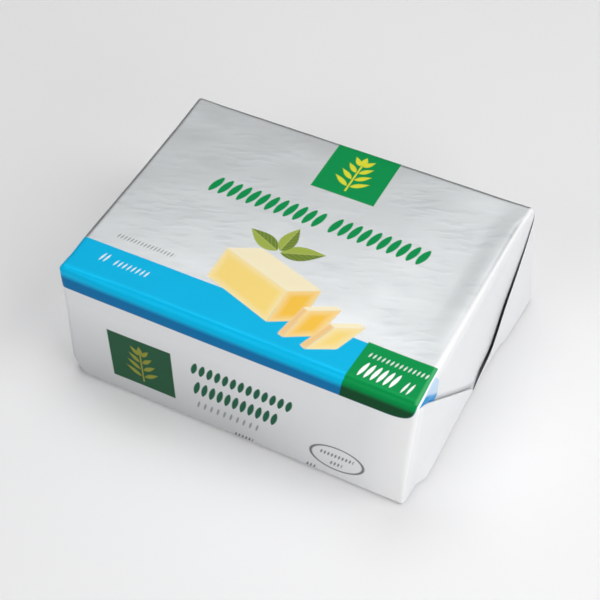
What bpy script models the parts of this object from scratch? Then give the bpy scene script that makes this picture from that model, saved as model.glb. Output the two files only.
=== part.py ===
"""A 250 g block of butter, shut in its printed foil wrapper and lying on its base.

The foil is pressed round the block from the printed top down. At each upright corner the spare
foil makes an ear, a right-angled triangle that is folded flat on the end. The slanting hems of
the two ears run from the top corners to one point low on the end, and between them shows the
end's own panel, a step deeper. Underneath, two end flaps lie inside, then the back flap, and
the front flap is folded over all of them.
"""
import bmesh
import bpy
import numpy as np
from mathutils import Vector

# The block, in metres: length along X, the printed long side at -Y, the base on z = 0
LENGTH = 0.0990
DEPTH = 0.0743
HEIGHT = 0.0366

# Rounding of the upright corners, of the rim round the top and of the rim round the base
UPRIGHT_RADIUS = 0.0022
TOP_RADIUS = 0.0013
BASE_RADIUS = 0.0011
UPRIGHT_STEPS = 5
RIM_STEPS = 3

# How far each corner of the soft block has drifted along X and Y from the true box,
# by its side along X, along Y, and below or above
CORNER_DRIFT = {
    (-1, -1, 0): (0.0004, -0.0008), (1, -1, 0): (-0.0011, -0.0030),
    (-1, 1, 0): (0.0004, 0.0010), (1, 1, 0): (0.0004, 0.0029),
    (-1, -1, 1): (-0.0019, 0.0015), (1, -1, 1): (0.0028, -0.0001),
    (-1, 1, 1): (-0.0012, -0.0008), (1, 1, 1): (-0.0002, 0.0002),
}

# The two ears on each end: how far they stand out, the width of the slope at a hem,
# and the point that their hems run to
EAR_RISE = 0.0008
HEM_WIDTH = 0.0003
HEM_POINT_Y = 0.0026
HEM_POINT_Z = 0.0015
END_ZONE = 0.0065

# Underneath: the edge of the front flap, and the step at it
LAP_Y = 0.008
LAP_RISE = 0.00035

# Lips where an ear flares out at the foot of an end: side along X, place of the crest along Y,
# and swell. A lip drops sharply towards its corner and dies away towards the middle
FOOT_LIPS = ((1, -0.0275, 0.0022), (1, 0.0290, 0.0005), (-1, -0.0285, 0.0008), (-1, 0.0270, 0.0012))
LIP_DROP = 0.0035
LIP_RUN = 0.0260
LIP_HEIGHT = 0.0075

# Soft shape of the panels: crown of the top, swell of the long sides, and shallow dents
# in the top, which are waves with these counts along X and Y
TOP_CROWN = 0.0003
SIDE_SWELL = 0.0003
DENT_DEPTH = 0.00012
DENTS_ALONG = 9
DENTS_ACROSS = 7

# Spacing of the lines that divide the panels, so that they can bend
PANEL_CELL = 0.0075

FOIL_COLOUR = (0.66, 0.69, 0.70, 1.0)
FOIL_ROUGHNESS = 0.35
FOIL_METALLIC = 0.7


def clear_scene():
    """Take away whatever the opened file holds."""
    for thing in list(bpy.data.objects):
        bpy.data.objects.remove(thing, do_unlink=True)


def smooth(value):
    """Smooth ramp: 0 below 0, 1 above 1, and 3 t squared less 2 t cubed between."""
    t = np.clip(value, 0.0, 1.0)
    return t * t * (3.0 - 2.0 * t)


def rounded_box():
    """A cube stretched to the block, its upright edges bevelled first and its two rims after."""
    mesh = bmesh.new()
    bmesh.ops.create_cube(mesh, size=1.0)
    for vertex in mesh.verts:
        x, y, z = vertex.co
        vertex.co = (x * LENGTH, y * DEPTH, (z + 0.5) * HEIGHT)

    def is_upright(edge):
        low, high = sorted(v.co.z for v in edge.verts)
        return high - low > HEIGHT / 2

    def lies_at(edge, height):
        return all(abs(v.co.z - height) < BASE_RADIUS / 10 for v in edge.verts)

    uprights = [edge for edge in mesh.edges if is_upright(edge)]
    bmesh.ops.bevel(mesh, geom=uprights, offset=UPRIGHT_RADIUS, segments=UPRIGHT_STEPS,
                    profile=0.5, affect="EDGES")
    for height, radius in ((HEIGHT, TOP_RADIUS), (0.0, BASE_RADIUS)):
        rim = [edge for edge in mesh.edges if lies_at(edge, height)]
        bmesh.ops.bevel(mesh, geom=rim, offset=radius, segments=RIM_STEPS,
                        profile=0.5, affect="EDGES")
    return mesh


def cut(mesh, point, normal, wanted=None):
    """Divide the mesh, or only its wanted faces, along the plane through point."""
    faces = [face for face in mesh.faces if wanted is None or wanted(face)]
    edges = {edge for face in faces for edge in face.edges}
    vertices = {vertex for face in faces for vertex in face.verts}
    bmesh.ops.bisect_plane(mesh, geom=faces + list(edges) + list(vertices), dist=1e-6,
                           plane_co=point, plane_no=Vector(normal).normalized())


def cut_grid(mesh):
    """Lines across every panel, about one cell apart, clear of the bevelled rims."""
    spans = (((1, 0, 0), -LENGTH / 2 + UPRIGHT_RADIUS, LENGTH / 2 - UPRIGHT_RADIUS),
             ((0, 1, 0), -DEPTH / 2 + UPRIGHT_RADIUS, DEPTH / 2 - UPRIGHT_RADIUS),
             ((0, 0, 1), BASE_RADIUS, HEIGHT - TOP_RADIUS))
    for axis, low, high in spans:
        cells = max(2, round((high - low) / PANEL_CELL))
        for place in np.linspace(low, high, cells + 1)[1:-1]:
            cut(mesh, Vector(axis) * float(place), axis)
    for side in (-1, 1):
        cut(mesh, (side * (LENGTH / 2 - END_ZONE), 0, 0), (1, 0, 0))
    for place in (LIP_HEIGHT / 3, LIP_HEIGHT * 2 / 3):
        cut(mesh, (0, 0, place), (0, 0, 1))
    for _side, place, _swell in FOOT_LIPS:
        cut(mesh, (0, place, 0), (0, 1, 0))
        cut(mesh, (0, place + LIP_DROP * np.sign(place), 0), (0, 1, 0))


def hem_lines():
    """For the front and the back hem: a point on it, and the normal towards the end's panel."""
    lines = []
    for side in (-1, 1):
        along = Vector((0, HEM_POINT_Y - side * DEPTH / 2, HEM_POINT_Z - HEIGHT)).normalized()
        inward = Vector((0, side * along.z, -side * along.y))
        lines.append((Vector((0, side * DEPTH / 2, HEIGHT)), inward))
    return lines


def cut_hems(mesh):
    """Two close lines along each ear's hem, on the faces of both ends alone."""
    def on_an_end(face):
        return min(abs(v.co.x) for v in face.verts) > LENGTH / 2 - UPRIGHT_RADIUS * 1.01

    for point, inward in hem_lines():
        for step in (0.0, HEM_WIDTH):
            cut(mesh, point + inward * step, inward, on_an_end)


def cut_base_folds(mesh):
    """Two close lines along the edge of each flap, on the underside alone."""
    def underneath(face):
        return max(v.co.z for v in face.verts) < BASE_RADIUS / 100

    for step in (0.0, HEM_WIDTH):
        cut(mesh, (0, LAP_Y + step, 0), (0, 1, 0), underneath)
        for x_side in (-1, 1):
            for y_side in (-1, 1):
                outward = Vector((x_side, -y_side, 0)).normalized()
                corner = Vector((x_side * LENGTH / 2, y_side * DEPTH / 2, 0))
                cut(mesh, corner + outward * step, outward, underneath)


def ear_step(x, y, z):
    """How far the end's panel lies inside the ears: nothing on an ear, the full rise past its hem."""
    inside = np.full_like(x, LENGTH)
    for point, inward in hem_lines():
        inside = np.minimum(inside, (y - point.y) * inward.y + (z - point.z) * inward.z)
    near_end = smooth((np.abs(x) - (LENGTH / 2 - END_ZONE)) / (END_ZONE - TOP_RADIUS * 2))
    return EAR_RISE * smooth(inside / HEM_WIDTH) * near_end


def foot_lips(x, y, z):
    """Outward swell at the foot of each end: a crest in Y with a short side towards the corner and
    a long one towards the middle, times a fade up the end and a fade away from it."""
    swell = np.zeros_like(x)
    for side, place, size in FOOT_LIPS:
        inward = (place - y) * np.sign(place)
        crest = 1 - np.where(inward < 0, smooth(-inward / LIP_DROP), smooth(inward / LIP_RUN))
        near_end = smooth((x * side - (LENGTH / 2 - END_ZONE)) / END_ZONE)
        swell += side * size * crest * (1 - smooth(z / LIP_HEIGHT)) * near_end
    return swell


def base_folds(x, y):
    """Height of the folded underside above the front flap, which the pack rests on.

    The front flap narrows at 45 degrees from the front corners and ends at the lap.
    The back flap lies one step higher, and the end flaps rise towards the middle.
    """
    front_edge = np.maximum((np.abs(x) - (LENGTH / 2 - (y + DEPTH / 2))) / np.sqrt(2), y - LAP_Y)
    back_edge = (np.abs(x) - (LENGTH / 2 - (DEPTH / 2 - y))) / np.sqrt(2)
    back_flap = LAP_RISE * (DEPTH / 2 - y) / (DEPTH / 2 - LAP_Y)
    end_flap = 2 * LAP_RISE * (LENGTH / 2 - np.abs(x)) / (DEPTH / 2)
    inner = back_flap + (end_flap - back_flap) * smooth(back_edge / HEM_WIDTH)
    return np.maximum(inner, 0.0) * smooth(front_edge / HEM_WIDTH)


def corner_drift(x, y, z):
    """The drift of the eight corners, mixed evenly between them."""
    along = x / LENGTH + 0.5
    across = y / DEPTH + 0.5
    up = z / HEIGHT
    drift_x = np.zeros_like(x)
    drift_y = np.zeros_like(x)
    for (side_x, side_y, above), (move_x, move_y) in CORNER_DRIFT.items():
        share = (along if side_x > 0 else 1 - along) * (across if side_y > 0 else 1 - across)
        share = share * (up if above else 1 - up)
        drift_x += share * move_x
        drift_y += share * move_y
    return drift_x, drift_y


def press_to_shape(mesh):
    """Bend the true box into the hand-pressed pack, with its ears, lips, flaps and dents."""
    mesh.verts.ensure_lookup_table()
    places = np.array([vertex.co[:] for vertex in mesh.verts])
    x, y, z = places.T
    u = x / (LENGTH / 2)
    v = y / (DEPTH / 2)
    w = z / HEIGHT
    underneath = z < BASE_RADIUS / 100

    drift_x, drift_y = corner_drift(x, y, z)
    dents = np.sin(DENTS_ALONG * u + 2) * np.sin(DENTS_ACROSS * v + 1)
    new_x = x + drift_x - np.sign(x) * ear_step(x, y, z) + foot_lips(x, y, z)
    side_swell = SIDE_SWELL * np.sign(v) * smooth(np.abs(v) * 4 - 3) * (1 - u ** 2) * 4 * w * (1 - w)
    new_y = y + drift_y + side_swell
    new_z = z + (TOP_CROWN + DENT_DEPTH * dents) * (1 - u ** 2) * (1 - v ** 2) * smooth(w * 4 - 3)
    new_z = new_z + np.where(underneath, base_folds(x, y), 0.0)

    new_x = new_x - (new_x.min() + new_x.max()) / 2
    new_y = new_y - (new_y.min() + new_y.max()) / 2
    for vertex, place in zip(mesh.verts, zip(new_x, new_y, new_z)):
        vertex.co = [float(value) for value in place]


def foil_material():
    """Satin foil, part metal and part lacquer."""
    material = bpy.data.materials.new("printed_foil")
    material.use_nodes = True
    shader = material.node_tree.nodes["Principled BSDF"]
    shader.inputs["Base Color"].default_value = FOIL_COLOUR
    shader.inputs["Roughness"].default_value = FOIL_ROUGHNESS
    shader.inputs["Metallic"].default_value = FOIL_METALLIC
    return material


def butter_pack(collection):
    """The whole pack, one closed solid."""
    mesh = rounded_box()
    cut_grid(mesh)
    cut_hems(mesh)
    cut_base_folds(mesh)
    bmesh.ops.remove_doubles(mesh, verts=mesh.verts, dist=0.00001)
    bmesh.ops.triangulate(mesh, faces=mesh.faces)
    press_to_shape(mesh)

    data = bpy.data.meshes.new("butter_pack")
    mesh.to_mesh(data)
    mesh.free()
    data.materials.append(foil_material())
    data.shade_smooth()
    data.set_sharp_from_angle(angle=np.radians(28))
    pack = bpy.data.objects.new("butter_pack", data)
    collection.objects.link(pack)
    return pack


def main():
    clear_scene()
    parts = bpy.data.collections.new("wrapped_butter")
    bpy.context.scene.collection.children.link(parts)
    butter_pack(parts)


main()
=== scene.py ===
# %% [markdown]
# # A wrapped block of butter
# A 250 g block of butter is pressed into one sheet of printed foil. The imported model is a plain
# soft box with the folds as low steps. This script lays a fine sheet over it, with ears that
# really stand open on the ends, flaps under the base, crumples, print and light.

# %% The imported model
import bmesh
import bpy
import numpy as np
from mathutils import Matrix, Vector


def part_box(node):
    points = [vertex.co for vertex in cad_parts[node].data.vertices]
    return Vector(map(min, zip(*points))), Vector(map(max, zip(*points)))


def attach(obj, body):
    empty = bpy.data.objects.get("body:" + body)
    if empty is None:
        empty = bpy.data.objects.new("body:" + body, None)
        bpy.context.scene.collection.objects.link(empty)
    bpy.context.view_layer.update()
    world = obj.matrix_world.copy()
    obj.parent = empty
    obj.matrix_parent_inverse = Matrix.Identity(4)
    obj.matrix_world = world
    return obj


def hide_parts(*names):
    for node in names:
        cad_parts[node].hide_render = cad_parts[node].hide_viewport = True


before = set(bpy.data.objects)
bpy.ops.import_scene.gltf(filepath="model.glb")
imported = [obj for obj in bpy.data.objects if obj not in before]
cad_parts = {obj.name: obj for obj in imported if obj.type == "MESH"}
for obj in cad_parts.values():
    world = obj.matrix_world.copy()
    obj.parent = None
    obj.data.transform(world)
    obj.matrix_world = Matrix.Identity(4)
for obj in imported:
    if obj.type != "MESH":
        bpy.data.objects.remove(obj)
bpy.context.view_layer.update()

low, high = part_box("butter_pack")
print("packed nodes:", sorted(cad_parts), "size in mm:", [round(s * 1000, 1) for s in high - low])

# %% [markdown]
# ## The shape of the pack
# The block is a box with soft edges whose corners have drifted a little. Every point of the foil
# is first given on the sharp box, and one function then presses it to its real place. So all
# parts of the sheet meet without gaps, because they go through the same function.

# %% Sizes of the block and its folds, in metres
MM = 0.001
LENGTH, DEPTH, HEIGHT = 99.0 * MM, 74.3 * MM, 36.6 * MM
HALF_X, HALF_Y = LENGTH / 2, DEPTH / 2
UPRIGHT_RADIUS, EDGE_RADIUS = 2.2 * MM, 1.4 * MM
TOP_RADIUS, FRONT_RADIUS, BASE_RADIUS = 1.4 * MM, 2.5 * MM, 1.0 * MM
RIGHT_ROUND, FRONT_ROUND = 2.8 * MM, 2.1 * MM
END_ZONE = 6.5 * MM
CORNER_DRIFT = {   # side along X, side along Y, foot or top: step in X and Y in mm
    (-1, -1, 0): (0.2, -1.1),
    (1, -1, 0): (-0.4, -2.8),
    (-1, 1, 0): (0.4, 1.0),
    (1, 1, 0): (0.0, 2.9),
    (-1, -1, 1): (-1.55, 1.5),
    (1, -1, 1): (2.8, -0.1),
    (-1, 1, 1): (-0.65, -0.8),
    (1, 1, 1): (-0.2, 0.2),
}
FOOT_LIPS = (   # side along X, place of the crest along Y in mm, swell in mm, a dent if below 0
    (1, -27.5, 1.35),
    (1, 17.0, -0.7),
    (-1, -28.5, 0.8),
    (-1, 27.0, 1.2),
)
LIP_DROP, LIP_RUN, LIP_HEIGHT = 3.5 * MM, 26.0 * MM, 7.5 * MM
TOP_CROWN, SIDE_SWELL = 0.3 * MM, 0.3 * MM
print("block in mm:", [round(s / MM, 1) for s in (LENGTH, DEPTH, HEIGHT)])


# %% A smooth ramp and a smooth random height
def smooth(value):
    """0 below 0, 1 above 1, and 3 t squared less 2 t cubed between them."""
    t = np.clip(value, 0.0, 1.0)
    return t * t * (3.0 - 2.0 * t)


def patchy(u, v, cell_u, cell_v, seed):
    """Random heights from -1 to 1 at the corners of a grid of cells, mixed smoothly between them."""
    table = np.random.default_rng(seed).uniform(-1, 1, (61, 61))
    s, t = u / cell_u, v / cell_v
    i, j = np.floor(s).astype(int), np.floor(t).astype(int)
    ramp_s, ramp_t = smooth(s - i), smooth(t - j)
    near = table[i % 61, j % 61] * (1 - ramp_s) + table[(i + 1) % 61, j % 61] * ramp_s
    far = table[i % 61, (j + 1) % 61] * (1 - ramp_s) + table[(i + 1) % 61, (j + 1) % 61] * ramp_s
    return near * (1 - ramp_t) + far * ramp_t


print("ramp at a quarter:", float(smooth(np.array(0.25))))


# %% Radii of the edges
NEAR_UPRIGHT, UPRIGHT_FADE = 9 * MM, 6 * MM
RIGHT_FOOT, LEFT_FOOT = 14 * MM, 6 * MM
SHARPER, LEFT_FOOT_ROUNDER = 0.5, 1.4


def front_left_share(x, y):
    """1 at the front left corner, fading to 0 over 20 mm to the right and 10 mm to the back."""
    return smooth((-x - 28 * MM) / (20 * MM)) * smooth((-y - 25 * MM) / (10 * MM))


def radii(x, y, z):
    """Radii across X and across Y. They are the upright edges' radius near the uprights, and that
    of the top edge away from them: round at the front and the right, sharp at the back and the
    left. The back corners and the front left one are sharper at their top, and the front right
    one at its foot, where the front left one is rounder."""
    near_x = smooth((NEAR_UPRIGHT - (HALF_X - np.abs(x))) / UPRIGHT_FADE)
    near_y = smooth((NEAR_UPRIGHT - (HALF_Y - np.abs(y))) / UPRIGHT_FADE)
    high_up = smooth(z / HEIGHT * 3 - 2)
    back_top = high_up * smooth((np.abs(x) - 10 * MM) / (15 * MM)) * smooth((y - 10 * MM) / (15 * MM))
    low_down = smooth(1 - z / RIGHT_FOOT)
    front_right = low_down * smooth((x - 20 * MM) / (10 * MM)) * smooth((-y - 10 * MM) / (10 * MM))
    front_left = high_up * front_left_share(x, y)
    left_foot = smooth(1 - z / LEFT_FOOT) * front_left_share(x, y)
    sharper = SHARPER * (back_top + front_right + front_left)
    upright = UPRIGHT_RADIUS * (1 - sharper + LEFT_FOOT_ROUNDER * left_foot)
    right_edge = np.where(x > 0, EDGE_RADIUS + (RIGHT_ROUND - EDGE_RADIUS) * high_up, EDGE_RADIUS)
    radius_x = right_edge + (upright - right_edge) * near_y
    front_edge = upright + (FRONT_ROUND * (1 - SHARPER * front_left) - upright) * high_up
    radius_y = np.where(y < 0, front_edge, EDGE_RADIUS + (upright - EDGE_RADIUS) * near_x)
    return radius_x, radius_y


middle = [float(r[0]) for r in radii(np.zeros(1), np.array([-HALF_Y]), np.array([HEIGHT]))]
print("radii at the middle of the front edge in mm:", [round(r / MM, 2) for r in middle])


# %% Pressing the sharp box to the soft pack
def soften(x, y, z):
    """Round the edges: pull the point into a smaller box, then push it out along that pull.

    The pull is measured in radii, so an edge may be rounder one way than the other. Returns the
    new point and the direction that the foil faces there."""
    front_radius = FRONT_RADIUS - (FRONT_RADIUS - TOP_RADIUS) * 0.7 * front_left_share(x, y)
    top_radius = TOP_RADIUS + (front_radius - TOP_RADIUS) * smooth((-y - 25 * MM) / (8 * MM))
    rise = np.where(z > HEIGHT / 2, top_radius, BASE_RADIUS)
    radius_x, radius_y = radii(x, y, z)
    inner_x = np.clip(x, -HALF_X + radius_x, HALF_X - radius_x)
    inner_y = np.clip(y, -HALF_Y + radius_y, HALF_Y - radius_y)
    inner_z = np.clip(z, BASE_RADIUS, HEIGHT - top_radius)
    pull = np.stack([(x - inner_x) / radius_x, (y - inner_y) / radius_y, (z - inner_z) / rise])
    pull = pull / np.maximum(np.linalg.norm(pull, axis=0), 1e-9)
    return inner_x + pull[0] * radius_x, inner_y + pull[1] * radius_y, inner_z + pull[2] * rise, pull


def drift(x, y, z):
    """The drift of the eight corners, mixed evenly between them, plus the lips and the dent at
    the foot of the ends. Each drops sharply towards its corner and dies away towards the middle."""
    along, across, up = x / LENGTH + 0.5, y / DEPTH + 0.5, z / HEIGHT
    move_x, move_y = np.zeros_like(x), np.zeros_like(x)
    for (side_x, side_y, above), (step_x, step_y) in CORNER_DRIFT.items():
        share = (along if side_x > 0 else 1 - along) * (across if side_y > 0 else 1 - across)
        share = share * (up if above else 1 - up)
        move_x = move_x + share * step_x * MM
        move_y = move_y + share * step_y * MM
    for side, place, swell in FOOT_LIPS:
        inward = (place * MM - y) * np.sign(place)
        crest = 1 - np.where(inward < 0, smooth(-inward / LIP_DROP), smooth(inward / LIP_RUN))
        near_end = smooth((x * side - (HALF_X - END_ZONE)) / END_ZONE)
        move_x = move_x + side * swell * MM * crest * (1 - smooth(z / LIP_HEIGHT)) * near_end
    return move_x, move_y


def press(x, y, z):
    """Where a point of the sharp box lies on the soft pack, and which way the foil faces there.

    The long sides swell and the top crowns, each as a product of one less the squares of the
    shares along it, so that nothing moves at the rims."""
    new_x, new_y, new_z, facing = soften(x, y, z)
    move_x, move_y = drift(x, y, z)
    u, v, w = x / HALF_X, y / HALF_Y, z / HEIGHT
    swell = SIDE_SWELL * np.sign(v) * smooth(np.abs(v) * 4 - 3) * (1 - u ** 2) * 4 * w * (1 - w)
    crown = TOP_CROWN * (1 - u ** 2) * (1 - v ** 2) * smooth(w * 4 - 3)
    return np.stack([new_x + move_x, new_y + move_y + swell, new_z + crown]), facing


corner, _facing = press(np.array([HALF_X]), np.array([-HALF_Y]), np.array([HEIGHT]))
print("front right top corner in mm:", (corner[:, 0] / MM).round(1))

# %% [markdown]
# ## Crumples
# Foil keeps every dent. Long shallow creases run over the top, aslant to the long edge, and
# softer dents lie under them. A shadow-casting crease has to be real geometry, while the finest
# wrinkles are left to the bump of the material. The heights are a function of the place on the
# flat sheet, so they run on over every edge.

# %% Height of the crumples over the sheet
CREASE_SLANT = np.radians(17)
GROOVE_START, GROOVE_END, GROOVE_DEPTH = 22.0 * MM, 47.0 * MM, 0.34 * MM
GROOVE_FADE = 16 * MM
DENT_HEIGHT, SMALL_DENT_HEIGHT = 0.045 * MM, 0.02 * MM
CREASE_HEIGHT, WRINKLE_HEIGHT = 0.006 * MM, 0.002 * MM


def groove(u, v):
    """The top sinks slowly towards the right and rises again to its rim, most of all at the back."""
    sinks = smooth((u - GROOVE_START) / (18 * MM)) * (1 - smooth((u - GROOVE_END) / (6.5 * MM) + 1))
    return GROOVE_DEPTH * sinks * (0.35 + 0.65 * smooth((v + 26 * MM) / (30 * MM)))


def crumple(u, v):
    """Soft dents, plus creases: the height of a crease is one less the size of a stretched patchy
    field, so it peaks in thin lines where the field crosses zero."""
    along = u * np.cos(CREASE_SLANT) + v * np.sin(CREASE_SLANT)
    across = -u * np.sin(CREASE_SLANT) + v * np.cos(CREASE_SLANT)
    dents = DENT_HEIGHT * patchy(u, v, 14 * MM, 11 * MM, 3)
    dents = dents + SMALL_DENT_HEIGHT * patchy(u, v, 7 * MM, 6 * MM, 4)
    lines = 1 - np.abs(patchy(along, across, 11 * MM, 3.4 * MM, 5)) * 2
    fine = patchy(along, across, 4.2 * MM, 1.7 * MM, 6)
    on_top = smooth((HALF_X + 2 * MM - np.abs(u)) / (4 * MM)) * smooth((HALF_Y - np.abs(v)) / (3 * MM))
    silver = 0.15 + 0.85 * on_top
    creases = CREASE_HEIGHT * np.maximum(lines, 0) + WRINKLE_HEIGHT * fine
    height = dents + silver * creases
    return height - groove(u, v) * on_top * smooth((HALF_Y - np.abs(v)) / GROOVE_FADE)


flat_u, flat_v = np.meshgrid(np.linspace(-0.05, 0.05, 200), np.linspace(-0.03, 0.03, 200))
print("crumples reach", round(float(np.ptp(crumple(flat_u, flat_v))) / MM, 3), "mm")

# %% [markdown]
# ## The ends
# On each end the panel that comes down from the top lies deepest. Over it lie two ears, each the
# spare corner of the sheet folded in two, joined to the front or the back of the pack. An ear's
# hem is a real fold here: the foil goes out to the hem, turns round it, runs back under the ear,
# turns again and goes on as the panel. So the dark gap along the hem is a real gap.

# %% Rows and columns of the grid
CELLS_X, CELLS_Y, CELLS_Z, CELLS_EAR = 180, 136, 58, 44
TIP_Y = 1.6 * MM
HEMS = {   # side along Y: heights from the foot up and the places across the end, in mm
    -1: ((0, 1.3, 35.6, 36.6), (1.6, 1.6, -35.0, -37.15)),
    1: ((0, 1.3, 1.9, 3.2, 5.3, 8.9, 15.8, 21.8, 27.9, 33.0, 36.6),
        (1.6, 1.6, 4.0, 7.4, 10.4, 13.4, 18.9, 25.4, 31.9, 36.2, 37.15)),
}
PANEL_DEPTH = {-1: 0.35 * MM, 1: 1.0 * MM}
GAP_START, GAP_REACH = 0.3, 34 * MM
DIP_DEPTH, DIP_WIDTH = 0.60 * MM, 3.6 * MM
HEM_RADIUS = {-1: 0.28 * MM, 1: 0.09 * MM}
HEM_SUNK = {-1: 0.32 * MM, 1: 0.0}
UNDER_EAR = 8.0 * MM


def spread(cells, ease=0.3):
    """Values from -1 to 1, closer together near both ends."""
    t = np.linspace(-1, 1, cells + 1)
    return t + ease * np.sin(np.pi * t) / np.pi


STEPS_X = HALF_X * spread(CELLS_X)
STEPS_Y = HALF_Y * spread(CELLS_Y)
STEPS_Z = HEIGHT * (0.5 - 0.5 * spread(CELLS_Z))
EAR_SHARE = np.linspace(0, 1, CELLS_EAR + 1)
print("rows down an end:", len(STEPS_Z))


def hem(side_y, z):
    """Y of an ear's hem at height z: the measured places joined by straight lines, then softened
    by the mean of five heights close to z."""
    heights, places = HEMS[side_y]
    reach = np.minimum(1.2 * MM, np.minimum(z, HEIGHT - z))
    near = [np.interp((z + reach * k) / MM, heights, places) for k in (-1, -0.5, 0, 0.5, 1)]
    return np.mean(near, axis=0) * MM


def panel_depth(y, z):
    """How deep the end's panel lies: more towards the back hem, where the ear stands open, and
    more down that hem than at its top, with a dip along the front hem. It fades to nothing at
    the top corners and the foot, and to a third along the top edge."""
    front, back = hem(-1, z), hem(1, z)
    from_corner = np.hypot(HALF_Y - np.abs(y), HEIGHT - z)
    share = smooth((y - front) / np.maximum(back - front, 1e-6))
    at_back = PANEL_DEPTH[1] * (GAP_START + (1 - GAP_START) * smooth(from_corner / GAP_REACH))
    depth = PANEL_DEPTH[-1] + (at_back - PANEL_DEPTH[-1]) * share
    depth = depth + DIP_DEPTH * (1 - smooth((y - front) / DIP_WIDTH))
    from_edge = 0.35 + 0.65 * smooth((HEIGHT - z) / (7 * MM))
    return depth * from_edge * smooth(from_corner / (5 * MM)) * smooth(z / (3 * MM))


# %% The columns of one end
def ear_columns(side_y, z):
    """Y, depth, lining and side of the columns from an upright edge to its hem, round the hem,
    back under the ear and out again to the hem, where the panel begins.

    The ear is a straight run in Y. The hem is a half circle in Y and depth. The two runs under
    the ear are straight, with a blunt turn between them."""
    z = z[:, None]
    edge_y = np.full_like(z, side_y * HALF_Y)
    hem_y = hem(side_y, z)
    width = np.abs(hem_y - edge_y)
    taper = smooth(width / (6 * MM)) * smooth(z / (4 * MM))
    outer_y = edge_y + (hem_y - edge_y) * EAR_SHARE[None]
    sunk = HEM_SUNK[side_y] * taper
    outer_depth = sunk * smooth(EAR_SHARE[None] * 2 - 1)
    radius = HEM_RADIUS[side_y] * taper
    turn = np.linspace(0, np.pi, 8)[None, 1:]
    round_y = hem_y - side_y * radius * np.sin(turn)
    round_depth = sunk + radius * (1 - np.cos(turn))
    under = np.minimum(UNDER_EAR, width * 0.8) * taper
    back = np.linspace(0, 1, 5)[None, 1:]
    inner_y = hem_y + side_y * under * back
    inner_depth = sunk + 2 * radius + (panel_depth(hem_y, z) - sunk - 2 * radius) * 0.35 * back
    out = np.linspace(1, 0, 5)[None]
    lower_y = hem_y + side_y * under * out
    lower_depth = panel_depth(hem_y, z) * np.ones_like(out)
    y = np.hstack([outer_y, round_y, inner_y, lower_y])
    depth = np.hstack([outer_depth, round_depth, inner_depth, lower_depth])
    # The grey lining, partly painted shade, starts further round the front hem than the back one.
    starts = 2.4 if side_y < 0 else 1.2
    lining = np.hstack([np.zeros_like(outer_y), np.zeros_like(round_y) + (turn > starts),
                        np.ones_like(inner_y), np.ones_like(lower_y)])
    lining[:, -1] = 0
    side = np.hstack([np.ones_like(outer_y), np.ones_like(round_y),
                      np.zeros_like(inner_y), np.zeros_like(lower_y)]) * side_y
    return y, depth, lining, side


def end_sheet(side_x):
    """One end as a grid: front ear and its hem, panel, back hem and back ear."""
    z = STEPS_Z
    front, back = ear_columns(-1, z), ear_columns(1, z)
    share = (STEPS_Y[None] + HALF_Y) / DEPTH
    left, right = hem(-1, z)[:, None], hem(1, z)[:, None]
    panel_y = left + (right - left) * share
    flat = np.zeros_like(panel_y)
    panel = (panel_y, panel_depth(panel_y, z[:, None]), flat, flat)
    parts = [front, [a[:, 1:-1] for a in panel], [a[:, ::-1] for a in back]]
    y, depth, lining, side = (np.hstack([part[k] for part in parts]) for k in range(4))
    height = np.broadcast_to(z[:, None], y.shape)
    u = HALF_X + np.where(side == 0, HEIGHT - height, HALF_Y - side * y)
    v = np.where(side == 0, y, side * (HALF_Y + HEIGHT - height))
    x = np.full_like(y, side_x * HALF_X)
    return x, y, height, side_x * u, v, depth, lining


print("columns across an end:", end_sheet(1)[0].shape[1])


# %% [markdown]
# ## One sheet
# The top, front, back and base are plain grids on the sharp box, with the same rows and columns
# where they meet. All of them go through the same pressing, and equal points are merged, so the
# sheet is one closed surface. A UV map keeps each point's place on the flat sheet, in quarter
# metres from its middle, and the print is drawn in that map.

# %% Grids of the sheet
SHEET = 0.25
BASE_RISE = 0.45 * MM


def flat_grid(face):
    """Grid of x, y, z and the sheet's u, v for one flat side of the box."""
    if face == "top":
        x, y = np.meshgrid(STEPS_X, STEPS_Y)
        return x, y, np.full_like(x, HEIGHT), x, y
    if face == "base":
        ears = np.concatenate([-HALF_Y + (TIP_Y + HALF_Y) * EAR_SHARE,
                               TIP_Y + (HALF_Y - TIP_Y) * EAR_SHARE[1:]])
        x, y = np.meshgrid(STEPS_X, ears)
        return x, y, np.zeros_like(x), x, -(HALF_Y + HEIGHT + HALF_Y + y)
    side = -1 if face == "front" else 1
    x, z = np.meshgrid(STEPS_X, STEPS_Z)
    return x, np.full_like(x, side * HALF_Y), z, x, side * (HALF_Y + HEIGHT - z)


def pressed_grid(x, y, z, u, v, depth, lining):
    """Press a grid to shape, sink it by its depth along X, and add the crumples along its
    facing. The base rises a little inside its rim, so that the flaps have room under it."""
    place, facing = press(x, y, z)
    near_end = smooth((np.abs(x) - (HALF_X - END_ZONE)) / (END_ZONE - 2 * TOP_RADIUS))
    sink = np.where(z > HEIGHT - 1e-9, panel_depth(y, z), depth) * near_end
    place[0] -= np.sign(x) * sink
    lively = smooth(z / (2.5 * MM)) * (1 - lining)
    place += facing * crumple(u, v) * lively
    from_rim = np.minimum(HALF_X - np.abs(x), HALF_Y - np.abs(y)) - BASE_RADIUS
    place[2] += np.where(z < 1e-9, BASE_RISE * smooth(from_rim / (2 * MM)), 0.0)
    return np.moveaxis(place, 0, -1), np.stack([u, v], -1) / SHEET + 0.5, lining


grids = []
for face, flip in (("top", False), ("base", True), ("front", True), ("back", False)):
    x, y, z, u, v = flat_grid(face)
    grids.append((face, flip, pressed_grid(x, y, z, u, v, np.zeros_like(x), np.zeros_like(x))))
for side_x in (-1, 1):
    grids.append(("end", side_x > 0, pressed_grid(*end_sheet(side_x))))
print("points in all grids:", sum(g[2][0].shape[0] * g[2][0].shape[1] for g in grids))


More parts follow.
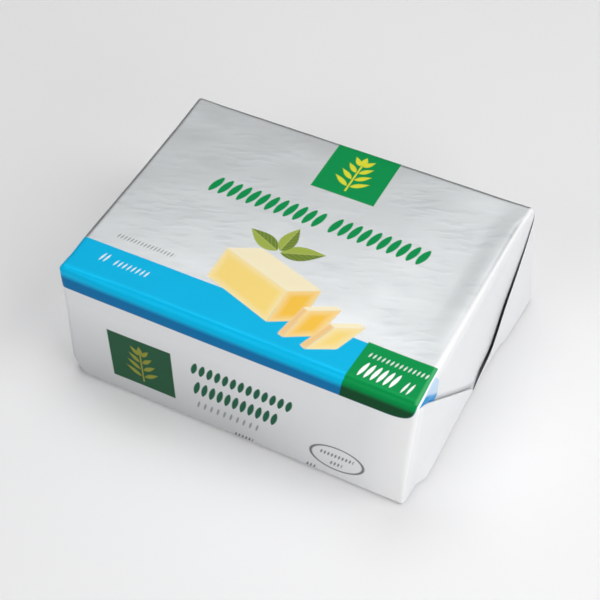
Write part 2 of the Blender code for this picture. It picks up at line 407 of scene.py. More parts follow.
# %% A mesh from grids
MERGE_DISTANCE = 1e-7


def grid_faces(rows, columns, first, flip):
    """Quads of a grid whose points are numbered row by row from first."""
    start = first + np.arange(rows - 1)[:, None] * columns + np.arange(columns - 1)[None]
    quads = np.stack([start, start + 1, start + columns + 1, start + columns], -1).reshape(-1, 4)
    return quads[:, ::-1] if flip else quads


def mesh_from_grids(name, grids):
    """One mesh from grids of points, sheet places and linings, with equal points merged."""
    points, faces, sheet, linings = [], [], [], []
    count = 0
    for _face, flip, (place, uv, lining) in grids:
        rows, columns = place.shape[:2]
        faces.append(grid_faces(rows, columns, count, flip))
        points.append(place.reshape(-1, 3))
        sheet.append(uv.reshape(-1, 2))
        linings.append(np.broadcast_to(lining, place.shape[:2]).ravel())
        count += rows * columns
    points, faces, sheet = np.concatenate(points), np.concatenate(faces), np.concatenate(sheet)
    mesh = bpy.data.meshes.new(name)
    mesh.vertices.add(len(points))
    mesh.vertices.foreach_set("co", points.astype(np.float32).ravel())
    mesh.loops.add(faces.size)
    mesh.loops.foreach_set("vertex_index", faces.astype(np.int32).ravel())
    mesh.polygons.add(len(faces))
    mesh.polygons.foreach_set("loop_start", np.arange(0, faces.size, 4, dtype=np.int32))
    mesh.update(calc_edges=True)
    layer = mesh.uv_layers.new(name="sheet")
    layer.data.foreach_set("uv", sheet[faces.ravel()].astype(np.float32).ravel())
    mask = mesh.attributes.new("lining", "FLOAT", "POINT")
    mask.data.foreach_set("value", np.concatenate(linings).astype(np.float32))
    merged = bmesh.new()
    merged.from_mesh(mesh)
    bmesh.ops.remove_doubles(merged, verts=merged.verts, dist=MERGE_DISTANCE)
    merged.to_mesh(mesh)
    open_edges = sum(1 for edge in merged.edges if len(edge.link_faces) != 2)
    volume = merged.calc_volume(signed=True)
    merged.free()
    mesh.shade_smooth()
    print(name, len(mesh.polygons), "faces,", open_edges, "open edges,", round(volume * 1e6, 1), "cm3")
    return mesh


# %% The wrapper
# The shift leads from the block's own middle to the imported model's frame.
shift = (-0.25 * MM, 0.05 * MM, 0.0)
wrapper_mesh = mesh_from_grids("wrapper", grids)
wrapper_mesh.transform(Matrix.Translation(shift))
wrapper = bpy.data.objects.new("wrapper", wrapper_mesh)
bpy.context.scene.collection.objects.link(wrapper)
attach(wrapper, "root")
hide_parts("butter_pack")
print("wrapper in mm:", [round(s / MM, 1) for s in wrapper.dimensions])

# %% [markdown]
# ## Flaps under the base
# The sheet ends underneath in four flaps. The two from the ends are folded in first, the back one
# lies over them, and the front one over all, where the pack rests on it. Each flap is a thin
# closed shell: a patch between four corners, once as its outer and once as its inner side, which
# meet along the rim. So each edge is a real edge that casts its own shadow.

# %% The flaps
FOIL = 0.12 * MM
FLAPS = (   # name, two corners at the fold, two at the tip in mm, and heights in mm along the way
    ("flap_right", (48.3, -35.6), (48.3, 35.6), (15.5, 8.0), (15.5, -8.0), (0.06, 0.30, 0.31)),
    ("flap_left", (-48.3, 35.6), (-48.3, -35.6), (-15.5, -8.0), (-15.5, 8.0), (0.06, 0.30, 0.31)),
    ("flap_back", (47.6, 36.0), (-47.6, 36.0), (-5.4, -6.0), (5.4, -6.0), (0.06, 0.15, 0.15)),
    ("flap_front", (-47.6, -36.0), (47.6, -36.0), (4.4, 8.0), (-4.4, 8.0), (0.05, 0.0, 0.0)),
)


def flap(fold_a, fold_b, tip_b, tip_a, heights):
    """Both sides of a flap. A point is the mean of the four corners, weighted by its shares along
    and across. The sides part by the foil's thickness times a root of what is left to the rim."""
    across, along = np.meshgrid(0.5 + 0.5 * spread(64), 0.5 + 0.5 * spread(56))
    corners = [np.array(c) * MM for c in (fold_a, fold_b, tip_b, tip_a)]
    weights = ((1 - across) * (1 - along), across * (1 - along), across * along, (1 - across) * along)
    x, y = (sum(w * c[k] for w, c in zip(weights, corners)) for k in range(2))
    move_x, move_y = drift(x, y, np.zeros_like(x))
    dents = 0.02 * MM * patchy(x, y, 9 * MM, 7 * MM, 8) * smooth(along * 8)
    low_z = np.interp(along, (0, 0.12, 1), heights) * MM + np.maximum(dents, 0)
    rim = np.minimum(across * (1 - across), along * (1 - along)) * 4
    thick = FOIL * np.sqrt(np.clip(rim * 12, 0, 1))
    sheet = np.stack([x, -np.abs(y) - HALF_Y - HEIGHT], -1) / SHEET + 0.5
    outer = np.stack([x + move_x, y + move_y, low_z], -1)
    inner = outer + np.stack([0 * x, 0 * x, thick], -1)
    return [("outer", True, (outer, sheet, 0 * x)), ("inner", False, (inner, sheet, 0 * x))]


flaps = []
for name, *corners, heights in FLAPS:
    mesh = mesh_from_grids(name, flap(*corners, heights))
    mesh.transform(Matrix.Translation(shift))
    piece = bpy.data.objects.new(name, mesh)
    bpy.context.scene.collection.objects.link(piece)
    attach(piece, "root")
    flaps.append(piece)

# %% [markdown]
# ## Print
# The wrapper is printed flat, before it is folded. So every shape of the print is drawn in the
# sheet map, in millimetres from the middle of the top: a fold then carries the print with it,
# as the blue band shows on the front and on the corner of the end panel. A few node groups draw
# plain shapes as masks from 0 to 1: a shape with four corners, a row of slanting leaves, one leaf
# and an oval ring. No picture file is needed, and the edges stay sharp at any size. Some painted
# highlights and painted shade are laid on with the same masks, besides the print.

# %% Helpers for nodes
def node(tree, kind, *values, **settings):
    """Add a node, link or set its inputs in order, set its options, and return it."""
    made = tree.nodes.new("ShaderNode" + kind)
    for name, value in settings.items():
        setattr(made, name, value)
    for socket, value in zip(made.inputs, values):
        if value is None:
            continue
        if isinstance(value, bpy.types.NodeSocket):
            tree.links.new(value, socket)
        else:
            socket.default_value = value
    return made


def math(tree, operation, *values):
    """A Math node's result."""
    return node(tree, "Math", *values, operation=operation).outputs[0]


def vector(tree, operation, *values, result=0):
    """A Vector Math node's result."""
    return node(tree, "VectorMath", *values, operation=operation).outputs[result]


def group(name, inputs, outputs):
    """An empty node group with named inputs and outputs, and its two end nodes."""
    tree = bpy.data.node_groups.new(name, "ShaderNodeTree")
    for label, kind in inputs:
        tree.interface.new_socket(label, in_out="INPUT", socket_type="NodeSocket" + kind)
    for label, kind in outputs:
        tree.interface.new_socket(label, in_out="OUTPUT", socket_type="NodeSocket" + kind)
    return tree, tree.nodes.new("NodeGroupInput").outputs, tree.nodes.new("NodeGroupOutput").inputs


def use(tree, made, **values):
    """Place a node group, set or link its inputs by name, and return its outputs."""
    placed = tree.nodes.new("ShaderNodeGroup")
    placed.node_tree = made
    for name, value in values.items():
        socket = placed.inputs[name.replace("_", " ")]
        if isinstance(value, bpy.types.NodeSocket):
            tree.links.new(value, socket)
        else:
            socket.default_value = value
    return placed.outputs


def paint(tree, below, mask, above, opacity=1.0):
    """Lay a colour over another one by a mask."""
    if opacity != 1.0:
        mask = math(tree, "MULTIPLY", mask, opacity)
    mixed = tree.nodes.new("ShaderNodeMix")
    mixed.data_type = "RGBA"
    tree.links.new(mask, mixed.inputs["Factor"])
    for label, value in (("A", below), ("B", above)):
        socket = [s for s in mixed.inputs if s.name == label and s.type == "RGBA"][0]
        if isinstance(value, bpy.types.NodeSocket):
            tree.links.new(value, socket)
        else:
            socket.default_value = ink(value) if len(value) == 3 else value
    return [s for s in mixed.outputs if s.type == "RGBA"][0]


def ink(colour):
    """A screen colour from 0 to 255 as the linear colour that Blender mixes."""
    c = np.array(colour) / 255
    linear = np.where(c < 0.04045, c / 12.92, ((c + 0.055) / 1.055) ** 2.4)
    return (*[float(v) for v in linear], 1.0)


print("mid grey as a linear value:", round(ink((128, 128, 128))[0], 3))

# %% Masks of four-cornered shapes
tree, given, out = group(
    "four_corners",
    [("Place", "Vector"), ("A", "Vector"), ("B", "Vector"), ("C", "Vector"), ("D", "Vector"),
     ("Soft", "Float"), ("Round", "Float")],
    [("Mask", "Float"), ("Inside", "Float")])
# The distance to a side is the dot product of the way from its first corner with the side's
# direction turned by a quarter. The least of the four distances is positive inside, and a smooth
# least rounds the corners.
nearest = None
for first, second in (("A", "B"), ("B", "C"), ("C", "D"), ("D", "A")):
    along = vector(tree, "NORMALIZE", vector(tree, "SUBTRACT", given[second], given[first]))
    inward = vector(tree, "CROSS_PRODUCT", (0, 0, 1), along)
    away = vector(tree, "SUBTRACT", given["Place"], given[first])
    distance = vector(tree, "DOT_PRODUCT", away, inward, result=1)
    if nearest is None:
        nearest = distance
    else:
        nearest = math(tree, "SMOOTH_MIN", nearest, distance, given["Round"])
edge = math(tree, "ADD", math(tree, "DIVIDE", nearest, given["Soft"]), 0.5)
tree.links.new(node(tree, "Clamp", edge).outputs[0], out["Mask"])
tree.links.new(nearest, out["Inside"])
four_corners = tree
print(tree.name, "has", len(tree.nodes), "nodes")

# %% Masks of leaves in a row
tree, given, out = group(
    "leaf_row",
    [("Place", "Vector"), ("Left", "Float"), ("Right", "Float"), ("Low", "Float"), ("High", "Float"),
     ("Pitch", "Float"), ("Width", "Float"), ("Lean", "Float"), ("Soft", "Float")],
    [("Mask", "Float")])
# The place along the row is what is left over from whole steps of the pitch, and it is moved
# sideways with the height so that the leaves lean. A leaf is as wide as a root of the sine of
# its height share.
split = node(tree, "SeparateXYZ", given["Place"])
rise = math(tree, "SUBTRACT", split.outputs["Y"], given["Low"])
drop = math(tree, "SUBTRACT", given["High"], split.outputs["Y"])
share = math(tree, "DIVIDE", rise, math(tree, "ADD", rise, drop))
share = node(tree, "Clamp", share).outputs[0]
lean = math(tree, "MULTIPLY", math(tree, "SUBTRACT", drop, rise), given["Lean"])
along = math(tree, "ADD", math(tree, "SUBTRACT", split.outputs["X"], given["Left"]), lean)
left_over = math(tree, "SUBTRACT", math(tree, "SUBTRACT", given["Right"], given["Left"]), along)
step = math(tree, "SUBTRACT", math(tree, "FLOORED_MODULO", along, given["Pitch"]),
            math(tree, "MULTIPLY", given["Pitch"], 0.5))
half = math(tree, "POWER", math(tree, "SINE", math(tree, "MULTIPLY", share, float(np.pi))), 0.55)
half = math(tree, "MULTIPLY", half, math(tree, "MULTIPLY", given["Width"], 0.5))
body = math(tree, "SUBTRACT", half, math(tree, "ABSOLUTE", step))
for limit in (rise, drop, along, left_over):
    body = math(tree, "MINIMUM", body, limit)
edge = math(tree, "ADD", math(tree, "DIVIDE", body, given["Soft"]), 0.2)
tree.links.new(node(tree, "Clamp", edge).outputs[0], out["Mask"])
leaf_row = tree
print(tree.name, "has", len(tree.nodes), "nodes")

# %% Mask of one leaf with a rib
tree, given, out = group(
    "leaf",
    [("Place", "Vector"), ("Base", "Vector"), ("Tip", "Vector"), ("Width", "Float"), ("Soft", "Float")],
    [("Mask", "Float"), ("Rib", "Float"), ("Side", "Float")])
# The share along the leaf and the distance from its rib are dot products with its direction and
# with that direction turned by a quarter. The half width follows the sine of the share, moved
# towards the base so that the tip is pointed.
whole = vector(tree, "SUBTRACT", given["Tip"], given["Base"])
away = vector(tree, "SUBTRACT", given["Place"], given["Base"])
length = vector(tree, "LENGTH", whole, result=1)
unit = vector(tree, "NORMALIZE", whole)
share = math(tree, "DIVIDE", vector(tree, "DOT_PRODUCT", unit, away, result=1), length)
inside = node(tree, "Clamp", share).outputs[0]
sideways = vector(tree, "DOT_PRODUCT", away, vector(tree, "CROSS_PRODUCT", (0, 0, 1), unit), result=1)
half = math(tree, "SINE", math(tree, "MULTIPLY", math(tree, "POWER", inside, 0.75), float(np.pi)))
half = math(tree, "MULTIPLY", half, math(tree, "MULTIPLY", given["Width"], 0.5))
beyond = math(tree, "MULTIPLY", math(tree, "ABSOLUTE", math(tree, "SUBTRACT", share, inside)), length)
room = math(tree, "SUBTRACT", math(tree, "SUBTRACT", half, math(tree, "ABSOLUTE", sideways)), beyond)
edge = math(tree, "ADD", math(tree, "DIVIDE", room, given["Soft"]), 0.2)
tree.links.new(node(tree, "Clamp", edge).outputs[0], out["Mask"])
veins = math(tree, "PINGPONG", math(tree, "SUBTRACT", math(tree, "MULTIPLY", share, 14.0),
                                    math(tree, "MULTIPLY", math(tree, "ABSOLUTE", sideways), 1.6)), 1.0)
veins = math(tree, "MULTIPLY", math(tree, "GREATER_THAN", veins, 0.82), 0.5)
middle = math(tree, "LESS_THAN", math(tree, "ABSOLUTE", sideways), 0.16)
tree.links.new(math(tree, "MAXIMUM", middle, veins), out["Rib"])
tree.links.new(math(tree, "GREATER_THAN", sideways, 0.0), out["Side"])
leaf = tree
print(tree.name, "has", len(tree.nodes), "nodes")

# %% Mask of an oval ring
tree, given, out = group(
    "oval_ring",
    [("Place", "Vector"), ("Centre", "Vector"), ("Half size", "Vector"), ("Line", "Float")],
    [("Mask", "Float")])
# The place in units of the half size has length 1 on the oval, so its difference from 1 is the
# distance from the line, measured in half heights.
away = vector(tree, "DIVIDE", vector(tree, "SUBTRACT", given["Place"], given["Centre"]), given["Half size"])
off = math(tree, "ABSOLUTE", math(tree, "SUBTRACT", vector(tree, "LENGTH", away, result=1), 1.0))
edge = math(tree, "SUBTRACT", 1.2, math(tree, "DIVIDE", off, given["Line"]))
tree.links.new(node(tree, "Clamp", edge).outputs[0], out["Mask"])
oval_ring = tree
print(tree.name, "has", len(tree.nodes), "nodes")

# %% [markdown]
# ## Foil, lacquer and ink
# The top is bare silver foil, and the inks on it are see-through, so they shine like coloured
# metal. The long sides and the ends have a white pearly lacquer. Where the foil turns under an
# ear it is grey and dull, as the paper lining is, and that grey is painted darker than the lining
# as painted shade, to deepen the gaps under the ears. The surface is one group with named inputs,
# and three materials use it with their own print: one for the top, one for the front, and one
# for the ends, the back and the base. So no ray works out a print that it can't meet.

# %% Wrinkles and tone of the foil, with painted shade along the streaks
tree, given, out = group(
    "foil_surface",
    [("Place", "Vector"), ("Silver", "Float"), ("Lining", "Float")],
    [("Shade", "Float"), ("Roughness", "Float"), ("Metallic", "Float"), ("Height", "Float")])
# Streaks are a noise drawn out along a slant, and they stand only where a slower noise lets them.
# The lacquer has next to none of them.
turned = (0, 0, float(np.radians(20)))
drawn_out = node(tree, "Mapping", given["Place"], None, turned, (5.5, 1.5, 1.0), vector_type="TEXTURE")
streaks = node(tree, "TexNoise", drawn_out.outputs[0], noise_dimensions="2D")
streaks.inputs["Scale"].default_value = 1.0
streaks.inputs["Detail"].default_value = 0.5
streaks.inputs["Distortion"].default_value = 0.4
slow = node(tree, "TexNoise", given["Place"], noise_dimensions="2D")
slow.inputs["Scale"].default_value = 0.07
slow.inputs["Detail"].default_value = 2.0
patch = node(tree, "MapRange", slow.outputs[0], 0.38, 0.62, 0.15, 1.0).outputs[0]
ridge = node(tree, "MapRange", streaks.outputs[0], 0.5, 0.72, 0.0, 1.0, interpolation_type="SMOOTHSTEP")
ridge = math(tree, "MULTIPLY", ridge.outputs[0], patch)
# The shade is a random tone from the slow noise plus painted shade along the streaks' ridges.
shade = math(tree, "MULTIPLY", slow.outputs[0], 0.10)
shade = math(tree, "ADD", shade, math(tree, "MULTIPLY", ridge, 0.05))
tree.links.new(math(tree, "MULTIPLY", shade, given["Silver"]), out["Shade"])
gloss = node(tree, "MapRange", slow.outputs[0], 0.3, 0.7, 0.35, 0.42)
tree.links.new(gloss.outputs[0], out["Roughness"])
metal = math(tree, "ADD", math(tree, "MULTIPLY", given["Silver"], 0.92), 0.08)
tree.links.new(math(tree, "MULTIPLY", metal, math(tree, "SUBTRACT", 1.0, given["Lining"])), out["Metallic"])
height = math(tree, "ADD", ridge, math(tree, "MULTIPLY", streaks.outputs[0], 0.5))
lively = math(tree, "ADD", math(tree, "MULTIPLY", given["Silver"], 0.9), 0.1)
tree.links.new(math(tree, "MULTIPLY", height, lively), out["Height"])
foil_surface = tree
print(tree.name, "has", len(tree.nodes), "nodes")

SILVER, WHITE, LINING_AND_SHADE = (222, 225, 226), (240, 241, 243), (150, 152, 154)
# The second blue is a painted highlight along the front bend, and the third blue and the second green are
# painted shade on the front.
CYAN, BEND_HIGHLIGHT_CYAN, SHADED_CYAN = (0, 184, 232), (0, 196, 246), (0, 118, 178)
GREEN, SHADED_GREEN = (0, 150, 76), (2, 74, 38)


# %% A coat of print
class Coat:
    """A foil material whose print is laid on shape by shape, in mm on the flat sheet."""

    def __init__(self, name):
        """Start with lacquer, silver on the top, and a painted highlight along the right top edge."""
        self.material = bpy.data.materials.new(name)
        self.material.use_nodes = True
        self.tree = self.material.node_tree
        self.shader = self.tree.nodes["Principled BSDF"]
        flat = node(self.tree, "UVMap", uv_map="sheet").outputs[0]
        self.place = vector(self.tree, "MULTIPLY", vector(self.tree, "SUBTRACT", flat, (0.5, 0.5, 0.0)),
                            (1000 * SHEET, 1000 * SHEET, 0.0))
        self.down = node(self.tree, "SeparateXYZ", self.place).outputs["Y"]
        self.silver = self.quad((-49.6, -38.0), (47.0, -38.0), (48.3, 37.8), (-49.6, 37.8), 0.7)
        self.colour = ink(WHITE)
        self.lay(self.silver, SILVER)
        # Painted highlight: pure white along the right top edge, brighter than the lacquer, where the
        # rounded edge catches the light.
        edge = self.quad((47.3, -38.0), (49.3, -38.0), (49.3, 37.0), (48.6, 37.0), 0.6)
        self.lay(edge, (255, 255, 255))

    def lay(self, mask, tint, opacity=1.0):
        """Lay one more colour on the print."""
        self.colour = paint(self.tree, self.colour, mask, tint, opacity)

    def quad(self, a, b, c, d, soft=0.25, corner=0.001, result="Mask"):
        """Mask of a shape with four corners, given against the clock's sense."""
        return use(self.tree, four_corners, Place=self.place, A=(*a, 0), B=(*b, 0), C=(*c, 0), D=(*d, 0),
                   Soft=soft, Round=corner)[result]

    def box(self, left, right, low, high, soft=0.25, corner=0.001):
        """Mask of an upright box."""
        return self.quad((left, low), (right, low), (right, high), (left, high), soft, corner)

    def row(self, left, right, low, high, pitch, width, lean=0.12, soft=0.3):
        """Mask of a row of leaves that fills a box."""
        return use(self.tree, leaf_row, Place=self.place, Left=float(left), Right=float(right),
                   Low=float(low), High=float(high), Pitch=pitch, Width=width, Lean=lean,
                   Soft=soft)["Mask"]

    def leaf(self, base, tip, width):
        """Mask, rib and side of one leaf."""
        return use(self.tree, leaf, Place=self.place, Base=(*base, 0), Tip=(*tip, 0), Width=width, Soft=0.3)

    def sprig(self, middle, across, up, tint):
        """Four pairs of small leaves on a stem and one at its tip, in the box that the arms span."""
        def at(s, t):
            return (middle[0] + across[0] * s + up[0] * t, middle[1] + across[1] * s + up[1] * t)
        size = float(np.hypot(*up))
        for k in range(4):
            foot = -0.62 + 0.34 * k
            for side in (-1, 1):
                tip = at(side * (0.62 - 0.09 * k), foot + 0.36)
                self.lay(self.leaf(at(side * 0.05, foot), tip, 0.2 * size)["Mask"], tint)
        self.lay(self.leaf(at(0, 0.42), at(0, 0.86), 0.24 * size)["Mask"], tint)
        self.lay(self.quad(at(-0.03, -0.86), at(0.03, -0.86), at(0.03, 0.5), at(-0.03, 0.5)), tint)

    def band(self):
        """The blue band along the front edge, its end on the end panel, and the green label.

        The blue is painted paler along the bend, a painted highlight where the fold catches the
        light, and both are painted darker on the front as painted shade, where the foil has turned
        down from the light."""
        bend = node(self.tree, "MapRange", self.down, -34.6, -36.0).outputs[0]
        front = node(self.tree, "MapRange", self.down, -39.2, -40.8).outputs[0]
        label_shade = node(self.tree, "MapRange", self.down, -38.8, -40.2).outputs[0]
        rounded = self.quad((-72, -44.0), (48.4, -43.1), (48.4, -12), (-72, -12), 0.3, 9.0)
        strip = self.quad((-72, -50), (48.4, -50), (48.4, -24.2), (-72, -24.7))
        # Painted highlight: a paler blue along the bend. Painted shade: darker blue and green on the front.
        blue = paint(self.tree, ink(CYAN), bend, BEND_HIGHLIGHT_CYAN)
        self.lay(math(self.tree, "MINIMUM", strip, rounded), paint(self.tree, blue, front, SHADED_CYAN))
        # The band's end on the end panel: a darker blue near the front hem as painted shade, and a pale
        # blue away from it as a painted highlight.
        tab = self.quad((49.3, -37.2), (72, -37.2), (72, -22.4), (49.3, -26.4))
        self.lay(tab, (0, 150, 216))
        away = self.quad((49.5, -32.6), (62.0, -19.4), (44.0, -10.0), (44.0, -32.6), 1.0)
        self.lay(math(self.tree, "MINIMUM", tab, away), (206, 226, 248), 0.92)
        label = self.quad((28.4, -47), (48.4, -47), (48.4, -23.8), (29.9, -23.8))
        label = math(self.tree, "MINIMUM", label, rounded)
        self.lay(label, paint(self.tree, ink(GREEN), label_shade, SHADED_GREEN))
        # Painted highlight: a lighter green along the label's rounded right edge.
        self.lay(self.box(47.4, 48.3, -36.6, -24.0, 0.6), (92, 190, 124), 0.7)

    def painted_edge_shade(self):
        """A thin dark grey line of painted shade along the back and left top edges."""
        wide, narrow = self.box(-49.7, 50, -38, 37.9, 0.5), self.box(-49.1, 50, -38, 37.0, 0.5)
        # Painted shade: a dark grey line along the back and left top edges.
        self.lay(math(self.tree, "SUBTRACT", wide, narrow), (92, 96, 100), 0.75)

    def finish(self):
        """Add the wrinkles, the tone and painted shade of the streaks, and the dull lining, and link
        everything to the shader.
        """
        lining = node(self.tree, "Attribute", attribute_name="lining").outputs["Fac"]
        tint = node(self.tree, "SeparateColor", self.colour, mode="HSV").outputs["Green"]
        bare = node(self.tree, "MapRange", tint, 0.06, 0.25, 1.0, 0.1).outputs[0]
        silver = math(self.tree, "MULTIPLY", self.silver, bare)
        made = use(self.tree, foil_surface, Place=self.place, Silver=silver, Lining=lining)
        # Darker mottling and streaks: a random tone of the foil plus painted shade along the streaks.
        self.lay(made["Shade"], (120, 128, 136))
        # The dull grey lining is partly the inner side of the foil and partly painted shade in the gaps.
        self.lay(lining, LINING_AND_SHADE)
        bump = node(self.tree, "Bump")
        bump.inputs["Strength"].default_value = 0.5
        bump.inputs["Distance"].default_value = 0.016 * MM
        for socket, target in ((self.colour, self.shader.inputs["Base Color"]),
                               (made["Metallic"], self.shader.inputs["Metallic"]),
                               (made["Roughness"], self.shader.inputs["Roughness"]),
                               (made["Height"], bump.inputs["Height"]),
                               (bump.outputs[0], self.shader.inputs["Normal"])):
            self.tree.links.new(socket, target)
        self.tree.links.new(math(self.tree, "MULTIPLY", bare, 0.15), self.shader.inputs["Coat Weight"])
        self.shader.inputs["Coat Roughness"].default_value = 0.25
        self.shader.inputs["Specular IOR Level"].default_value = 0.08
        print(self.material.name, "has", len(self.tree.nodes), "nodes")


# %% Ends, back and base: painted shade along the edges and the front hem, the band and the square
ends = Coat("foil_ends")
ends.painted_edge_shade()
# Painted shade: a soft grey band on the end panel along the front ear's hem, where the ear shades the
# panel.
panel = ((50.5, -35.0), (84.8, 1.6), (84.8, 37.0), (50.5, 37.0))
close = node(ends.tree, "MapRange", ends.quad(*panel, 0.2, result="Inside"), 0.0, 2.6, 0.5, 0.0,
             interpolation_type="SMOOTHSTEP").outputs[0]
from_top = ends.box(57.0, 90.0, -40.0, 1.6, 4.0)
close = math(ends.tree, "MULTIPLY", close, math(ends.tree, "MINIMUM", from_top, ends.quad(*panel)))
ends.lay(close, (128, 130, 134))
ends.band()
ends.lay(ends.box(-6.5, 11.6, 18.7, 39.5), (6, 148, 78))
ends.finish()

# %% Front: painted shade and highlight, a square with a sprig, rows of leaves and an oval
front = Coat("foil_front")
# Painted shade: the front darkens towards its foot, most of all at the left.
foot = node(front.tree, "MapRange", front.down, -48.0, -74.0, 0.0, 0.4).outputs[0]
side = node(front.tree, "SeparateXYZ", front.place).outputs["X"]
left = node(front.tree, "MapRange", side, 38.0, 0.0).outputs[0]
front.lay(math(front.tree, "MULTIPLY", foot, left), (112, 116, 120))
# Painted highlight: the front whitens towards its right upright edge.
front.lay(node(front.tree, "MapRange", side, 36.0, 46.0, 0.0, 0.9).outputs[0], (255, 255, 255))
front.band()
# The square, sprig and rows on the front are painted darker than the same inks on the top, as painted shade
# of the front.
front.lay(front.quad((-35.7, -68.5), (-17.0, -68.3), (-18.0, -52.4), (-36.7, -52.8)), (42, 92, 64))
front.sprig((-26.9, -60.7), (8.0, 0.1), (-0.5, 7.2), (150, 152, 62))
front.lay(front.row(-12.3, 16.8, -56.5, -52.2, 2.24, 1.8), (32, 98, 70))
front.lay(front.row(-11.6, 12.9, -63.5, -58.5, 2.23, 1.8), (32, 98, 70))
front.lay(front.row(-11.0, 8.0, -68.3, -65.5, 1.9, 0.8), (126, 134, 134), 0.8)
ring = use(front.tree, oval_ring, Place=front.place, Centre=(29.9, -66.5, 0), Half_size=(7.4, 4.0, 1.0),
           Line=0.07)
front.lay(ring["Mask"], (70, 74, 76), 0.9)
for left_end, right_end, low_end in ((0.4, 6.0, -73.2), (21.4, 24.6, -73.2), (25.0, 34.6, -66.3),
                                     (28.0, 31.6, -69.2)):
    tiny = front.row(left_end, right_end, low_end, low_end + 1.6, 1.0, 0.7)
    front.lay(tiny, (70, 74, 76), 0.8)
front.finish()

# %% Top: title row, square, and the rows on the band and the label
top = Coat("foil_top")
top.painted_edge_shade()
top.band()
top.lay(top.row(31.4, 47.6, -28.3, -26.5, 1.15, 0.62), (250, 250, 250), 0.85)
top.lay(top.row(31.4, 41.4, -34.7, -29.7, 1.67, 1.2), (252, 252, 252))
top.lay(top.row(42.7, 45.6, -34.9, -30.8, 1.45, 0.8), (250, 250, 250))
top.lay(top.row(-41.8, -39.4, -30.4, -27.2, 1.2, 0.7), (245, 250, 252))
top.lay(top.row(-37.8, -27.8, -30.4, -28.0, 1.25, 0.6), (245, 250, 252))
top.lay(top.box(-6.5, 11.6, 18.7, 39.5), (6, 148, 78))
top.sprig((2.5, 27.7), (8.2, 0.0), (0.0, 8.2), (226, 224, 60))
top.lay(top.row(-29.8, 2.6, 4.9, 11.1, 2.7, 2.3), (4, 146, 78))
top.lay(top.row(4.6, 31.8, 4.9, 11.1, 2.72, 2.3), (4, 146, 78))
top.lay(top.row(-41.8, -25.3, -21.2, -19.4, 0.95, 0.5), (86, 92, 94), 0.8)

# %% [markdown]
# ## The picture on the top
# A stick of butter, two slices that have come off its end, and a twig with three leaves behind
# it are drawn from flat shapes with four corners. A paler rim inside each gives the soft light
# that butter has.

# %% Butter and leaves
CREAM, BUTTER, CUT, SHADE = (250, 238, 200), (250, 220, 128), (250, 198, 74), (240, 176, 66)
FACES = (
    (((-15.0, -22.5), (5.0, -29.5), (5.0, -18.0), (-15.0, -11.5)), BUTTER),
    (((5.0, -29.5), (12.6, -25.2), (12.6, -14.0), (5.0, -18.0)), CUT),
    (((-15.0, -11.5), (5.0, -18.0), (12.6, -14.0), (-7.0, -7.6)), CREAM),
    (((9.0, -31.6), (10.6, -32.2), (12.4, -21.6), (10.8, -21.0)), SHADE),
    (((10.6, -32.2), (18.0, -28.0), (19.8, -17.6), (12.4, -21.6)), CUT),
    (((10.8, -21.0), (12.4, -21.6), (19.8, -17.6), (18.2, -17.0)), CREAM),
    (((15.4, -32.4), (17.0, -33.2), (20.6, -23.6), (19.0, -22.8)), SHADE),
    (((17.0, -33.2), (24.0, -29.6), (27.4, -20.2), (20.6, -23.6)), BUTTER),
    (((19.0, -22.8), (20.6, -23.6), (27.4, -20.2), (25.8, -19.4)), CREAM),
)
LEAVES = (
    ((-2.4, -7.0), (8.6, -2.6), 5.2),
    ((-3.4, -6.6), (-13.0, -2.4), 5.0),
    ((-2.8, -6.4), (-1.6, 3.2), 4.6),
)
for base, tip, width in LEAVES:
    made = top.leaf(base, tip, width)
    green = paint(top.tree, ink((112, 134, 52)), made["Side"], (160, 178, 76))
    top.lay(made["Mask"], paint(top.tree, green, made["Rib"], (190, 202, 120), 0.5))
for corners, tint in FACES:
    inside = top.quad(*corners, 0.3, 0.7, "Inside")
    pale = node(top.tree, "MapRange", inside, 0.0, 2.2, 0.5, 0.0).outputs[0]
    top.lay(top.quad(*corners, 0.3, 0.7), paint(top.tree, ink(tint), pale, (252, 240, 206)))
top.finish()

# %% Each part of the sheet gets its own material
for coat in (ends, front, top):
    wrapper_mesh.materials.append(coat.material)
corner_uv = np.empty(len(wrapper_mesh.loops) * 2, np.float32)
wrapper_mesh.uv_layers["sheet"].data.foreach_get("uv", corner_uv)
first = np.empty(len(wrapper_mesh.polygons), np.int32)
wrapper_mesh.polygons.foreach_get("loop_start", first)
corner_mm = (corner_uv.reshape(-1, 2)[first] - 0.5) * SHEET / MM
inside = np.abs(corner_mm[:, 0]) < HALF_X / MM
on_top_side = inside & (np.abs(corner_mm[:, 1]) < HALF_Y / MM)
on_front_side = inside & (corner_mm[:, 1] <= -HALF_Y / MM) & (corner_mm[:, 1] > -(HALF_Y + HEIGHT) / MM)
wrapper_mesh.polygons.foreach_set("material_index", (on_front_side + 2 * on_top_side).astype(np.int32))
wrapper_mesh.update()
for piece in flaps:
    piece.data.materials.append(ends.material)
print("faces on top and front:", int(on_top_side.sum()), int(on_front_side.sum()))

# %% [markdown]
# ## Camera and light
# The camera looks down on the front right corner, from the place that the corners of the pack
# give in perspective. A low window of light on the right whitens the end, and a large one behind
# and above is what the silver top mirrors.

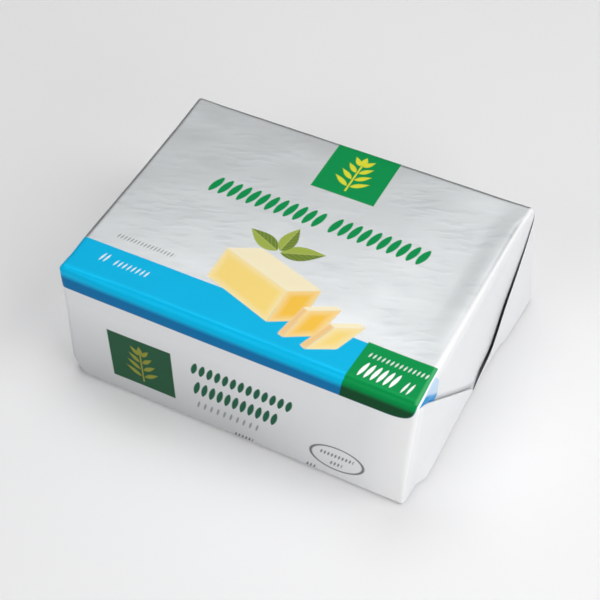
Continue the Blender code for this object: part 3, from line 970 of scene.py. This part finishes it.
# %% Camera
AZIMUTH, ELEVATION, ROLL = np.radians([29.25, 47.31, -2.13])
OFF_RIGHT, OFF_UP, DISTANCE, FOCAL_LENGTH = -1.18 * MM, 9.4 * MM, 604.4 * MM, 135.34
flat_part = np.cos(ELEVATION)
back = Vector((np.sin(AZIMUTH) * flat_part, -np.cos(AZIMUTH) * flat_part, np.sin(ELEVATION)))
level = Vector((0, 0, 1)).cross(back).normalized()
right = level * np.cos(ROLL) + back.cross(level) * np.sin(ROLL)
up = back.cross(right)
camera = bpy.data.objects.new("camera", bpy.data.cameras.new("camera"))
camera.data.lens = FOCAL_LENGTH
camera.data.clip_start = 0.01
camera.location = right * OFF_RIGHT + up * OFF_UP + back * DISTANCE
camera.rotation_euler = Matrix((right, up, back)).transposed().to_euler()
bpy.context.scene.collection.objects.link(camera)
bpy.context.scene.camera = camera
print("camera at", [round(c, 3) for c in camera.location])

# %% Light and floor
bpy.context.scene.view_settings.view_transform = "Standard"
world = bpy.data.worlds.new("studio")
world.use_nodes = True
world.node_tree.nodes["Background"].inputs["Color"].default_value = (0.97, 0.985, 1.0, 1)
world.node_tree.nodes["Background"].inputs["Strength"].default_value = 0.14
bpy.context.scene.world = world


def softbox(name, place, width, power, aim=(0, 0, 0.02)):
    """A square area light that looks at a point of the pack."""
    light = bpy.data.lights.new(name, "AREA")
    light.size = width
    light.energy = power
    lamp = bpy.data.objects.new(name, light)
    lamp.location = place
    lamp.rotation_euler = (Vector(aim) - Vector(place)).to_track_quat("-Z", "Y").to_euler()
    bpy.context.scene.collection.objects.link(lamp)


softbox("right_window", (0.7, 0.1, 0.8), 0.5, 2.84)
softbox("low_window", (1.0, 0.25, 0.45), 0.7, 0.84)
softbox("near_window", (0.40, -0.22, 0.2), 0.22, 0.64)
softbox("front_window", (-0.3, -0.9, 0.6), 0.7, 2.4)
softbox("top_window", (-0.10, 0.16, 0.98), 0.8, 3.09)
softbox("back_window", (-0.20, 0.36, 0.9), 0.8, 1.68)

floor_mesh = bpy.data.meshes.new("floor")
floor_corners = [(x, y, -0.0002) for x, y in ((-3, -3), (3, -3), (3, 3), (-3, 3))]
floor_mesh.from_pydata(floor_corners, [], [(0, 1, 2, 3)])
floor = bpy.data.objects.new("floor", floor_mesh)
bpy.context.scene.collection.objects.link(floor)
paper = bpy.data.materials.new("paper")
paper.use_nodes = True
paper.node_tree.nodes["Principled BSDF"].inputs["Base Color"].default_value = (0.9, 0.9, 0.9, 1)
floor.data.materials.append(paper)
print("lamps:", len(bpy.data.lights))
